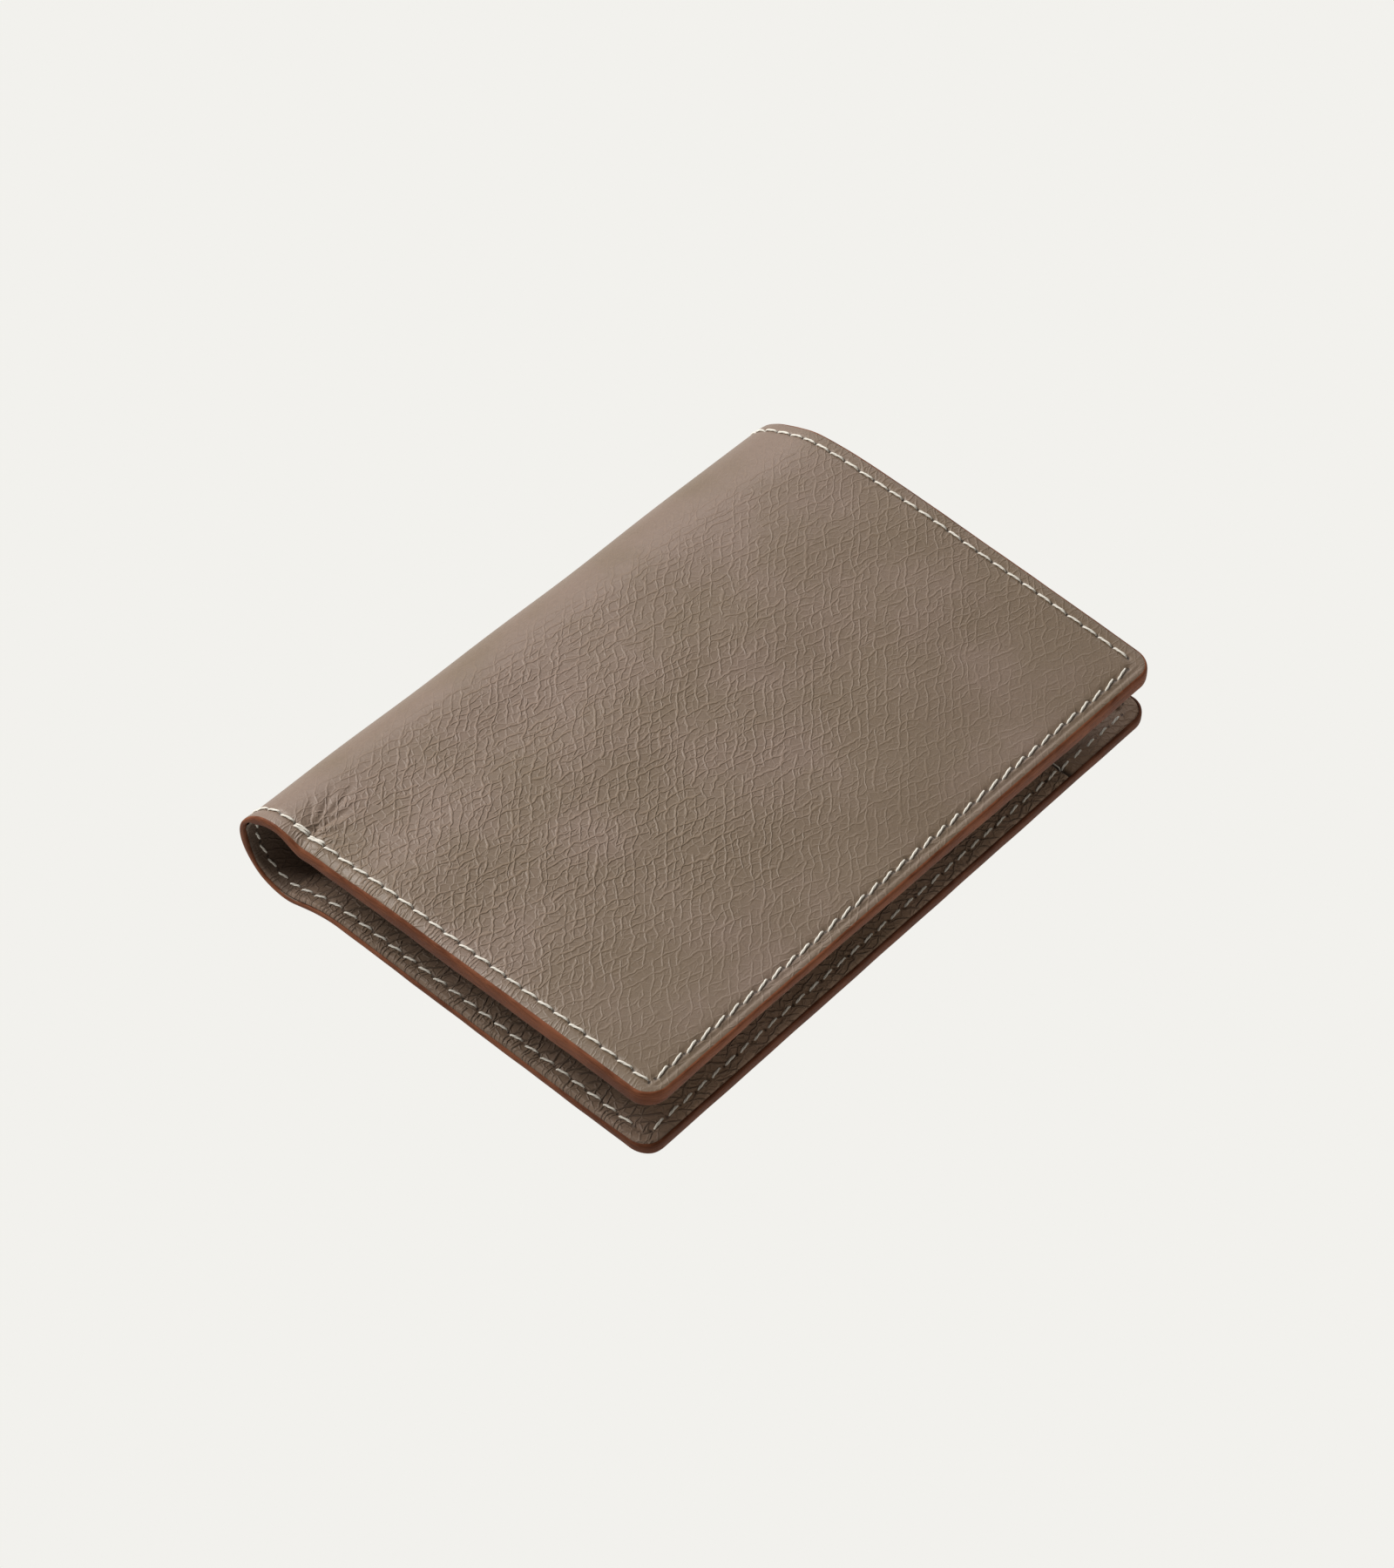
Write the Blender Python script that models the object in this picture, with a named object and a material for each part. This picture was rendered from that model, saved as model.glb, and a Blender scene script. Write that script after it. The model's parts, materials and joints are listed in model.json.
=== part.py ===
"""Vertical bifold wallet: two stiff leather covers joined by a rolled, springy spine.

The frame's origin is the centre of the back cover's outer face. +X runs from the spine to
the fore-edge, +Y runs along the spine towards the pocket mouths, and +Z runs from the back
cover to the front cover. The wallet is closed at rest, and all lengths are in metres.

The skin is one outer leather and one lining in the real wallet. Here both are divided where
the spine bends: the back cover is the base, five narrow strips roll up from it, and the
front cover hangs on the last strip. Each hinge line lies between the leather and the lining.
"""

import math

import bmesh
import bpy
from mathutils import Vector

# Overall size
WIDTH = 0.104                # from the rolled spine to the fore-edge
HEIGHT = 0.144               # along the spine
THICKNESS = 0.018            # between the two covers' outer faces
CORNER_RADIUS = 0.0045       # the four fore-edge corners
BELLY = 0.0037               # how far the rolled spine hangs below the back cover
BELLY_SLOPE = math.radians(28)   # slope of the skin where it comes up from the belly

# Sheets, from the outside in
LEATHER = 0.0010
LINING = 0.0005
CARD_PANEL = 0.0005          # the sheet that carries the card slots
CARD_SLOT = 0.0006           # each card slot's sheet
SLEEVE = 0.0008              # the back cover's slip pocket
GAP = 0.0003                 # between neighbouring sheets

# Seam
SEAM_INSET = 0.0029          # seam line to leather edge
THREAD_RADIUS = 0.0003
GROOVE_WIDTH = 0.0012        # the groove that the outer thread lies in
GROOVE_DEPTH = 0.0006

# Pockets
PANEL_EDGE = 0.0885          # fore-edge seam to the card panel's spine-side edge
SLEEVE_MOUTH = 0.0476        # y of the slip pocket's mouth, and of the card panel's top
LOWEST_SLOT_MOUTH = -0.017   # y of the lowest card slot's mouth
SLOT_STEP = 0.014            # from one card slot's mouth to the next
SLOT_NAMES = ("bottom", "middle", "top")
SLOT_ROOM = 0.0010           # clear depth for one card
SLOT_DEPTH = 0.0505          # how far a card goes in below a mouth
SLOT_WIDTH = 0.0858          # clear width for one card
SLOT_WALL = 0.0003           # run of the slot's turned-down side
BODY_INSET = 0.0005          # how much narrower a slot is below its ears
SLEEVE_RISE = 0.0005         # how far the slip pocket bulges
POCKET_FLANGE = 0.0014       # flat border between the seam and a pocket's bulge

LOOP_HINGES = 5              # hinge lines round the roll
CORNER_STEPS = 6             # flats on a quarter of a round corner

HINGE_DEPTH = LEATHER + GAP / 2
LINING_TOP = LEATHER + GAP + LINING          # depth of the lining's inner face
SHEET_DEPTH = LINING_TOP + GAP               # depth at which the inner sheets start
ROLL_RADIUS = (THICKNESS + BELLY) / 2
ROLL_CENTRE = Vector((ROLL_RADIUS - WIDTH / 2, 0, THICKNESS - ROLL_RADIUS))
LOOP_TURN = (math.pi + BELLY_SLOPE) / LOOP_HINGES
SEAM_Y = HEIGHT / 2 - SEAM_INSET
SEAM_X = WIDTH / 2 - SEAM_INSET

TAUPE = (0.225, 0.178, 0.136)
LINING_BROWN = (0.150, 0.112, 0.084)
INNER_TAUPE = (0.185, 0.145, 0.110)
THREAD_CREAM = (0.72, 0.67, 0.58)


class Skin:
    """A flat stretch of the skin: u runs along it from its hinge line, d is the depth in."""

    def __init__(self, start, heading):
        self.start = start
        self.along = Vector((math.cos(heading), 0, math.sin(heading)))
        self.inward = Vector((math.sin(heading), 0, -math.cos(heading)))

    def at(self, u, y, d):
        across = self.inward * (d - HINGE_DEPTH)
        return self.start + self.along * u + across + Vector((0, y, 0))


def hinge_points():
    """The hinge lines' points, from the back cover round the roll to the front cover."""
    corner_radius = (ROLL_RADIUS - HINGE_DEPTH) / math.cos(LOOP_TURN / 2)
    points = []
    for index in range(LOOP_HINGES):
        angle = 1.5 * math.pi + BELLY_SLOPE - (index + 0.5) * LOOP_TURN
        spoke = Vector((math.cos(angle), 0, math.sin(angle)))
        points.append(ROLL_CENTRE + spoke * corner_radius)
    rise = HINGE_DEPTH - points[0].z
    back = points[0] + Vector((rise / math.tan(BELLY_SLOPE), 0, rise))
    return [back] + points


def clear_scene():
    for thing in list(bpy.data.objects):
        bpy.data.objects.remove(thing)


def material(name, colour, roughness):
    made = bpy.data.materials.new(name)
    made.use_nodes = True
    shader = made.node_tree.nodes["Principled BSDF"]
    shader.inputs["Base Color"].default_value = (*colour, 1)
    shader.inputs["Roughness"].default_value = roughness
    shader.inputs["Metallic"].default_value = 0
    return made


def add_object(name, data, colour, roughness=0.55):
    thing = bpy.data.objects.new(name, data)
    data.materials.append(material(name, colour, roughness))
    bpy.context.scene.collection.objects.link(thing)
    return thing


def mesh_from(bm, name):
    bmesh.ops.recalc_face_normals(bm, faces=bm.faces)
    mesh = bpy.data.meshes.new(name)
    bm.to_mesh(mesh)
    bm.free()
    return mesh


def extruded(name, corners, sweep):
    """A closed prism: the polygon through corners, moved along sweep."""
    bm = bmesh.new()
    face = bm.faces.new([bm.verts.new(corner) for corner in corners])
    made = bmesh.ops.extrude_face_region(bm, geom=[face])["geom"]
    moved = [item for item in made if isinstance(item, bmesh.types.BMVert)]
    bmesh.ops.translate(bm, verts=moved, vec=sweep)
    return mesh_from(bm, name)


def cover_outline(hinge_u, edge_u, low_y, high_y, round_high=True):
    """(u, y) outline of a sheet, with round corners on its fore-edge side."""
    side = math.copysign(1, edge_u - hinge_u)
    outline = [(hinge_u, low_y)]
    for y, turn in ((low_y, -1), (high_y, 1)):
        if turn > 0 and not round_high:
            outline.append((edge_u, y))
            continue
        centre_u = edge_u - side * CORNER_RADIUS
        centre_y = y - turn * CORNER_RADIUS
        for step in range(CORNER_STEPS + 1):
            angle = math.pi / 2 * step / CORNER_STEPS
            if turn < 0:
                angle = math.pi / 2 - angle
            outline.append((
                centre_u + side * CORNER_RADIUS * math.cos(angle),
                centre_y + turn * CORNER_RADIUS * math.sin(angle),
            ))
    outline.append((hinge_u, high_y))
    return outline


def plate(name, skin, outline, depth, thickness, colour):
    corners = [skin.at(u, y, depth) for u, y in outline]
    return add_object(name, extruded(name, corners, skin.inward * thickness), colour)


def cut(thing, cutter_mesh, operation="DIFFERENCE"):
    cutter = bpy.data.objects.new(thing.name + "_cutter", cutter_mesh)
    bpy.context.scene.collection.objects.link(cutter)
    cutter.hide_render = True
    cutter.display_type = "WIRE"
    boolean = thing.modifiers.new("cut", "BOOLEAN")
    boolean.operation = operation
    boolean.object = cutter


def thread(name, skin, path):
    """A cord through the (u, y, d) points of path."""
    curve = bpy.data.curves.new(name, "CURVE")
    curve.dimensions = "3D"
    curve.bevel_depth = THREAD_RADIUS
    curve.bevel_resolution = 1
    curve.use_fill_caps = True
    spline = curve.splines.new("POLY")
    spline.points.add(len(path) - 1)
    for point, (u, y, d) in zip(spline.points, path):
        point.co = (*skin.at(u, y, d), 1)
    return add_object(name, curve, THREAD_CREAM, 0.8)


def setback(depth, turn):
    """How far a layer stays back from a hinge line, so that it clears its neighbour.

    turn is the skin's bend at that hinge: positive round the roll, where the inner side
    closes up at rest, and negative at the foot of the belly, where the outer side does.
    """
    squeezed = (depth - HINGE_DEPTH) * math.tan(turn / 2)
    return GAP / 2 + max(0.0, squeezed)


def seam_groove(skin, hinge_u, edge_u):
    """The U-shaped cutter for the groove that a cover's outer thread lies in."""
    side = math.copysign(1, edge_u - hinge_u)
    half = GROOVE_WIDTH / 2
    open_u = hinge_u - side * CORNER_RADIUS
    seam_u = edge_u - side * SEAM_INSET
    outer_u, inner_u = seam_u + side * half, seam_u - side * half
    outer_y, inner_y = SEAM_Y + half, SEAM_Y - half
    outline = [
        (open_u, -outer_y), (outer_u, -outer_y), (outer_u, outer_y), (open_u, outer_y),
        (open_u, inner_y), (inner_u, inner_y), (inner_u, -inner_y), (open_u, -inner_y),
    ]
    corners = [skin.at(u, y, -GAP) for u, y in outline]
    return extruded("groove", corners, skin.inward * (GAP + GROOVE_DEPTH))


def outer_seam(name, skin, hinge_u, edge_u):
    seam_u = edge_u - math.copysign(SEAM_INSET, edge_u - hinge_u)
    ends = [(hinge_u, -SEAM_Y), (seam_u, -SEAM_Y), (seam_u, SEAM_Y), (hinge_u, SEAM_Y)]
    thread(name, skin, [(u, y, 0) for u, y in ends])


def inner_seam(name, skin, hinge_u, step_u, edge_u, sheet_top, mouth_y):
    """The seam's inner side: it climbs onto the sheets at step_u and drops off at mouth_y."""
    side = math.copysign(1, edge_u - hinge_u)
    seam_u = edge_u - side * SEAM_INSET
    low = LINING_TOP + GAP + THREAD_RADIUS
    high = sheet_top + GAP + THREAD_RADIUS
    past_mouth = mouth_y + GAP + THREAD_RADIUS
    path = [(seam_u, -SEAM_Y, high), (seam_u, past_mouth, high), (seam_u, past_mouth, low),
            (seam_u, SEAM_Y, low), (hinge_u, SEAM_Y, low)]
    if step_u is None:
        start = [(hinge_u, -SEAM_Y, high)]
    else:
        before = step_u - side * (GAP + THREAD_RADIUS)
        start = [(hinge_u, -SEAM_Y, low), (before, -SEAM_Y, low), (before, -SEAM_Y, high)]
    thread(name, skin, start + path)


def relief_sheet(name, skin, columns, rows, depth_at, kept, thickness, colour):
    """A sheet with a stepped relief: depth_at gives the depth of its outer-facing side."""
    bm = bmesh.new()
    grid = {}
    for i, u in enumerate(columns):
        for j, y in enumerate(rows):
            grid[i, j] = bm.verts.new(skin.at(u, y, depth_at(i, j)))
    for i in range(len(columns) - 1):
        for j in range(len(rows) - 1):
            if kept(i, j):
                ring = (grid[i, j], grid[i + 1, j], grid[i + 1, j + 1], grid[i, j + 1])
                bm.faces.new(ring)
    loose = [vert for vert in bm.verts if not vert.link_faces]
    bmesh.ops.delete(bm, geom=loose, context="VERTS")
    bm.normal_update()
    flat = max(bm.faces, key=lambda face: face.calc_area())
    if flat.normal.dot(skin.inward) < 0:
        bmesh.ops.reverse_faces(bm, faces=bm.faces)
    mesh = bpy.data.meshes.new(name)
    bm.to_mesh(mesh)
    bm.free()
    thing = add_object(name, mesh, colour)
    solidify = thing.modifiers.new("thickness", "SOLIDIFY")
    solidify.thickness = thickness
    solidify.offset = 1
    solidify.use_even_offset = True
    return thing


def round_fore_edge(thing, skin, hinge_u, edge_u, deepest):
    """Trims a sheet to the cover's rounded outline."""
    outline = cover_outline(hinge_u, edge_u, -HEIGHT / 2, HEIGHT / 2)
    corners = [skin.at(u, y, 0) for u, y in outline]
    cut(thing, extruded("outline", corners, skin.inward * deepest), "INTERSECT")


def skin_sheets(prefix, skin, edge_u, turn):
    """A cover's outer leather and lining, from its hinge line to its fore-edge."""
    side = math.copysign(1, edge_u)
    near, far = -HEIGHT / 2, HEIGHT / 2
    start = side * setback(-THREAD_RADIUS, turn)
    outline = cover_outline(start, edge_u, near, far)
    leather = plate(prefix + "_leather", skin, outline, 0, LEATHER, TAUPE)
    cut(leather, seam_groove(skin, start, edge_u))
    outline = cover_outline(side * setback(LINING_TOP, turn), edge_u, near, far)
    plate(prefix + "_lining", skin, outline, LEATHER + GAP, LINING, LINING_BROWN)
    outer_seam(prefix + "_outer_thread", skin, start, edge_u)


def back_cover(skin):
    edge_u = skin.start.x - WIDTH / 2
    turn = -BELLY_SLOPE
    skin_sheets("back", skin, edge_u, turn)
    start = -setback(SHEET_DEPTH, turn)
    bulge_start = start - POCKET_FLANGE
    seam_u = edge_u + SEAM_INSET
    bulge_end = seam_u + POCKET_FLANGE
    columns = (start, bulge_start, bulge_start - SLEEVE_RISE,
               bulge_end + SLEEVE_RISE, bulge_end, edge_u)
    bottom = -SEAM_Y + POCKET_FLANGE
    rows = (-HEIGHT / 2, bottom, bottom + SLEEVE_RISE, SLEEVE_MOUTH)
    raised = {(i, j) for i in (2, 3) for j in (2, 3)}

    def depth_at(i, j):
        return SHEET_DEPTH + (SLEEVE_RISE if (i, j) in raised else 0)

    sleeve = relief_sheet("back_sleeve", skin, columns, rows, depth_at,
                          lambda i, j: True, SLEEVE, INNER_TAUPE)
    round_fore_edge(sleeve, skin, 0, edge_u, THICKNESS / 2)
    inner_seam("back_inner_thread", skin, start, None, edge_u,
               SHEET_DEPTH + SLEEVE, SLEEVE_MOUTH)


def card_slot(index, skin, panel_u, edge_u):
    """One card slot. The lowest is a full sheet, the others are T-shaped with two ears."""
    name = "card_slot_" + SLOT_NAMES[index]
    mouth = LOWEST_SLOT_MOUTH + index * SLOT_STEP
    bottom = mouth - SLOT_DEPTH
    level = len(SLOT_NAMES) - index
    flange_depth = SHEET_DEPTH + CARD_PANEL + GAP
    card_face = SHEET_DEPTH + CARD_PANEL
    raised_depth = card_face + level * SLOT_ROOM + (level - 1) * CARD_SLOT
    first = panel_u + CARD_SLOT
    inside = first + SLOT_WALL
    outside = inside + SLOT_WIDTH
    columns = (first, inside, inside + BODY_INSET, outside - BODY_INSET, outside,
               outside + SLOT_WALL, edge_u)
    full = index == 0
    if full:
        rows = (-HEIGHT / 2, bottom - SLOT_WALL, bottom, mouth)
    else:
        rows = (bottom - SLOT_WALL, bottom, mouth - SLOT_STEP + GAP, mouth)
    raised_rows = (2, 3) if full else (1, 2, 3)
    last_row = 2

    def depth_at(i, j):
        return raised_depth if 1 <= i <= 4 and j in raised_rows else flange_depth

    def kept(i, j):
        return full or j == last_row or i == 2

    slot = relief_sheet(name, skin, columns, rows, depth_at, kept, CARD_SLOT, INNER_TAUPE)
    if full:
        round_fore_edge(slot, skin, 0, edge_u, THICKNESS / 2)


def front_cover(skin):
    edge_u = WIDTH / 2 - skin.start.x
    skin_sheets("front", skin, edge_u, LOOP_TURN)
    panel_u = edge_u - SEAM_INSET - PANEL_EDGE
    outline = cover_outline(panel_u, edge_u, -HEIGHT / 2, SLEEVE_MOUTH, round_high=False)
    plate("card_panel", skin, outline, SHEET_DEPTH, CARD_PANEL, INNER_TAUPE)
    for index in range(len(SLOT_NAMES)):
        card_slot(index, skin, panel_u, edge_u)
    sheet_top = SHEET_DEPTH + CARD_PANEL + GAP + CARD_SLOT
    top_mouth = LOWEST_SLOT_MOUTH + (len(SLOT_NAMES) - 1) * SLOT_STEP
    start = setback(LINING_TOP + GAP + 2 * THREAD_RADIUS, LOOP_TURN)
    inner_seam("front_inner_thread", skin, start, panel_u, edge_u, sheet_top,
               max(top_mouth, SLEEVE_MOUTH))


def grooved_strip(name, skin, start, end):
    """A spine strip of outer leather, with the seam groove at both ends."""
    half_groove = GROOVE_WIDTH / 2
    low, high = SEAM_Y - half_groove, SEAM_Y + half_groove
    rim = [(HEIGHT / 2, LEATHER), (HEIGHT / 2, 0), (high, 0), (high, GROOVE_DEPTH),
           (low, GROOVE_DEPTH), (low, 0)]
    section = rim + [(-y, d) for y, d in reversed(rim)]
    corners = [skin.at(start, y, d) for y, d in section]
    return add_object(name, extruded(name, corners, skin.along * (end - start)), TAUPE)


def spine_strip(index, skin, length, first_turn, last_turn):
    """One rigid strip of the rolled spine, with its own runs of the seam."""
    name = "spine_" + str(index)

    def span(depth):
        return setback(depth, first_turn), length - setback(depth, last_turn)

    grooved_strip(name + "_leather", skin, *span(-THREAD_RADIUS))
    start, end = span(LINING_TOP)
    near, far = -HEIGHT / 2, HEIGHT / 2
    outline = [(start, near), (end, near), (end, far), (start, far)]
    plate(name + "_lining", skin, outline, LEATHER + GAP, LINING, LINING_BROWN)
    sheet_top = LINING_TOP
    if index == 1:
        sheet_top = SHEET_DEPTH + SLEEVE
        start, end = span(sheet_top)
        outline = [(start, near), (end, near), (end, SLEEVE_MOUTH), (start, SLEEVE_MOUTH)]
        plate("sleeve_fold_strip", skin, outline, SHEET_DEPTH, SLEEVE, INNER_TAUPE)
    for place, y, top in (("near", -SEAM_Y, sheet_top), ("far", SEAM_Y, LINING_TOP)):
        start, end = span(-THREAD_RADIUS)
        thread(f"{name}_{place}_outer_thread", skin, [(start, y, 0), (end, y, 0)])
        depth = top + GAP + THREAD_RADIUS
        start, end = span(depth + THREAD_RADIUS)
        thread(f"{name}_{place}_inner_thread", skin, [(start, y, depth), (end, y, depth)])


def wallet():
    clear_scene()
    points = hinge_points()
    back_cover(Skin(points[0], math.pi))
    heading = math.pi + BELLY_SLOPE
    for index, (first, last) in enumerate(zip(points, points[1:]), start=1):
        first_turn = -BELLY_SLOPE if index == 1 else LOOP_TURN
        spine_strip(index, Skin(first, heading), (last - first).length, first_turn, LOOP_TURN)
        heading -= LOOP_TURN
    front_cover(Skin(points[-1], heading))


wallet()
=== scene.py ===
"""Looks of the bifold wallet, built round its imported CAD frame.

The wallet's skin is one sheet that runs from the back cover round the rolled spine to the
front cover. Every piece here is placed on it by three coordinates: s runs along the skin
from the back cover's fore-edge to the front cover's, y runs along the spine, and d is the
depth in from the outer face. Lengths are in millimetres until a mesh is made.
"""

import json
import math

import bpy
import numpy as np
from mathutils import Matrix, Vector


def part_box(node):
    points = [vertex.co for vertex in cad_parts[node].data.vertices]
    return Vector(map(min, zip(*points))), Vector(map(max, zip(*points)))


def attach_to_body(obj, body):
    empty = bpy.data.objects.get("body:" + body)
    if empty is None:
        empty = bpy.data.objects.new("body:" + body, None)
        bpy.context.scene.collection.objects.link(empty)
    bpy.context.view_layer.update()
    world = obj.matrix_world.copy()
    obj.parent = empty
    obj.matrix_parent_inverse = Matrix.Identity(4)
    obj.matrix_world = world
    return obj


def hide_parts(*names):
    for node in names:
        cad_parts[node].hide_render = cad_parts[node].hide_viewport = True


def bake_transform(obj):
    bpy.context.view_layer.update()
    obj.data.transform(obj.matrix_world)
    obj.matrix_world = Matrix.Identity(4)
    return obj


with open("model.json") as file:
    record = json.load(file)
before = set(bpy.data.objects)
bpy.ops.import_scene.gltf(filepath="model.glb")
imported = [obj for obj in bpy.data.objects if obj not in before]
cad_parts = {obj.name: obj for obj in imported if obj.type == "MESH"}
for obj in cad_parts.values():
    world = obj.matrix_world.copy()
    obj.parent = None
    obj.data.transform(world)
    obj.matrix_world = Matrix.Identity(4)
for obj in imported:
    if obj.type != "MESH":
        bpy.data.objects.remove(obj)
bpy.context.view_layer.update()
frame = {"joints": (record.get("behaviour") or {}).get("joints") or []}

MM = 1000.0                          # millimetres in one frame unit

# The covers, as the CAD has them
FORE_EDGE, HALF_HEIGHT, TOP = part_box("front_leather")[1] * MM
ROLL_RADIUS = 10.85                  # outer radius of the rolled spine
CORNER = 4.5                         # radius of the fore-edge corners
HINGES = [Vector(joint["pos_m"]) * MM for joint in frame["joints"]]

# How the skin comes off the back cover into the belly
FOOT_SLOPE = math.radians(20)
FOOT_LENGTH = 9.0

# Sheets
LEATHER = 1.0
LINING_BACK = 1.3                    # depth of the lining's hidden face
LINING_FACE = 1.8                    # and of its inner face
SLEEVE_FACE = 2.9                    # depth of the slip pocket's inner face at the fore-edge
SLEEVE_THIN = 2.0                    # and where it ends in the fold
FRONT_STACK = 3.5                    # everything sewn together at the front cover's rim
SLEEVE_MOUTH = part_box("back_sleeve")[1].y * MM
PANEL_SPINE_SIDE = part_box("card_panel")[0].x * MM

# Seam
PITCH = 3.85                         # from one stitch hole to the next
SEAM_INSET = 2.9
SEAM_Y = HALF_HEIGHT - SEAM_INSET
SEAM_X = FORE_EDGE - SEAM_INSET
THREAD = 0.21                        # radius of the thread
HOLE_DEPTH = 0.32                    # how far the leather is pulled in at a stitch hole
HOLE_RADIUS = 0.42
CHANNEL_DEPTH = 0.20                 # and along the seam between the holes
PRESSED_INSET = 1.6                  # the line creased into the front's fore-edge margin
PRESSED_DEPTH = 0.26


def smoothstep(value, low, high):
    t = np.clip((value - low) / (high - low), 0, 1)
    return t * t * (3 - 2 * t)


def bump(value, centre, width):
    return np.exp(-(((value - centre) / width) ** 2))


def curve_through(*points):
    """A smooth function through a few (x, value) points, level beyond the last ones."""
    xs, values = np.array(points, float).T
    slopes = np.gradient(values, xs)

    def value(x):
        x = np.clip(x, xs[0], xs[-1])
        i = np.clip(np.searchsorted(xs, x) - 1, 0, len(xs) - 2)
        step = xs[i + 1] - xs[i]
        t = (x - xs[i]) / step
        start = (1 + 2 * t) * (1 - t) ** 2 * values[i] + t * (1 - t) ** 2 * step * slopes[i]
        end = t * t * (3 - 2 * t) * values[i + 1] + t * t * (t - 1) * step * slopes[i + 1]
        return start + end

    return value


# ---------------------------------------------------------------- the skin's shape

def section_bends():
    """(length, turn) of each stretch of the cross-section, from the back fore-edge on."""
    roll_x = ROLL_RADIUS - FORE_EDGE
    foot_radius = FOOT_LENGTH / FOOT_SLOPE
    foot_drop = foot_radius * (1 - math.cos(FOOT_SLOPE))
    belly_drop = ROLL_RADIUS * math.cos(FOOT_SLOPE) - (TOP - ROLL_RADIUS)
    slope_length = (belly_drop - foot_drop) / math.sin(FOOT_SLOPE)
    slope_end = roll_x + ROLL_RADIUS * math.sin(FOOT_SLOPE)
    foot_start = (slope_end + slope_length * math.cos(FOOT_SLOPE)
                  + foot_radius * math.sin(FOOT_SLOPE))
    roll_turn = math.pi + FOOT_SLOPE
    return (
        (FORE_EDGE - foot_start, 0.0),
        (FOOT_LENGTH, FOOT_SLOPE),
        (slope_length, 0.0),
        (ROLL_RADIUS * roll_turn, -roll_turn),
        (FORE_EDGE - roll_x, 0.0),
    )


BENDS = section_bends()
SKIN_LENGTH = sum(length for length, turn in BENDS)
FRONT_START = SKIN_LENGTH - BENDS[-1][0]


def section(s):
    """x, z and heading of the undistorted skin's outer face at arc length s."""
    s = np.asarray(s, float)
    x = np.full(s.shape, FORE_EDGE)
    z = np.zeros(s.shape)
    heading = np.full(s.shape, math.pi)
    start = 0.0
    before = math.pi
    for index, (length, turn) in enumerate(BENDS):
        low = -np.inf if index == 0 else 0.0
        high = np.inf if index == len(BENDS) - 1 else length
        run = np.clip(s - start, low, high)
        if turn:
            rate = turn / length
            x = x + (np.sin(before + rate * run) - math.sin(before)) / rate
            z = z - (np.cos(before + rate * run) - math.cos(before)) / rate
            heading = heading + rate * run
        else:
            x = x + run * math.cos(before)
            z = z + run * math.sin(before)
        start += length
        before += turn
    return x, z, heading


def arc_length_at(point):
    """The arc length at which the skin passes nearest to a point of the cross-section."""
    s = np.linspace(0, SKIN_LENGTH, 8001)
    x, z = section(s)[:2]
    return float(s[np.argmin(np.hypot(x - point.x, z - point.z))])


# The covers aren't flat: the front one is twisted, and its near end sags at the fold.
near_lift = curve_through((-52, -1.6), (-41, -1.3), (-27, -1.35), (-15, -0.45), (0, -0.15),
                          (20, 0.3), (52, 0.55))
far_lift = curve_through((-52, -3.0), (-44, -2.9), (-37, -0.7), (-27, 0.5), (-18, 0.65),
                         (8, -0.15), (30, -1.05), (52, -2.2))
near_rim_drop = curve_through((-52, 0.0), (-41, 0.3), (-35, 0.95), (-29, 0.95), (-20, 0.85),
                              (0, 0.7), (52, 0.5))
FAR_RIM_DROP = 0.3
FORE_RIM_DROP = 0.25
NEAR_SKEW = 0.2                      # how far the covers' near corners sit in
NEAR_SHEAR = 0.8                     # the fore-edge corners lie this far off square in x
FAR_SHEAR = -0.7
FAR_ROLL_SHIFT = 1.45                # the roll is a little shallower at its far end
ROLL_WAIST = 0.35                    # and towards its middle
MARGIN_PULL = 0.5                    # the back cover's near margin is drawn in at the seam
PINCH_X = -35.6                      # where the doubled stitches pull the near edge in
PINCH_DEPTH = 0.55


def warp(x, y, z):
    """Moves points of the ideal wallet to where the worn one has them."""
    across = 0.5 + y / (2 * SEAM_Y)
    front = smoothstep(z, 3.0, 16.0)
    lift = near_lift(x) * (1 - across) + far_lift(x) * across
    near_rim = np.clip((-SEAM_Y - y) / SEAM_INSET, 0, 1.2) ** 2
    far_rim = np.clip((y - SEAM_Y) / SEAM_INSET, 0, 1.2) ** 2
    fore_rim = np.clip((x - SEAM_X) / SEAM_INSET, 0, 1.2) ** 2
    lift = lift - near_rim_drop(x) * near_rim - FAR_RIM_DROP * far_rim
    lift = lift - FORE_RIM_DROP * fore_rim
    lift = lift - PINCH_DEPTH * bump(x, PINCH_X, 2.2) * bump(y, -HALF_HEIGHT, 6.0)
    fore = smoothstep(x, -20, FORE_EDGE)
    skew = NEAR_SKEW * (1 - across) * fore
    shear = NEAR_SHEAR * (1 - across) * (0.5 + 0.5 * front) + FAR_SHEAR * across
    roll_shift = FAR_ROLL_SHIFT * across + ROLL_WAIST * bump(across, 0.4, 0.3)
    roll_shift = roll_shift * smoothstep(-x, 30, 46)
    pull = MARGIN_PULL * bump(y, -SEAM_Y, 2.2) * (1 - front)
    return x + shear * fore + roll_shift, y + skew - pull, z + lift * front


def skin(s, y, d):
    """Positions of skin points, as an array of rows of x, y and z."""
    s, y, d = np.broadcast_arrays(*(np.asarray(value, float) for value in (s, y, d)))
    x, z, heading = section(s)
    x = x + np.sin(heading) * d
    z = z - np.cos(heading) * d
    return np.stack(warp(x, y, z), axis=-1)


def inset(s, y):
    """How far in from the rim a skin point is, up to the corner radius."""
    from_end = np.minimum(s, SKIN_LENGTH - s)
    from_side = HALF_HEIGHT - np.abs(y)
    corner = np.hypot(np.maximum(CORNER - from_end, 0), np.maximum(CORNER - from_side, 0))
    return CORNER - corner


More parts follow.
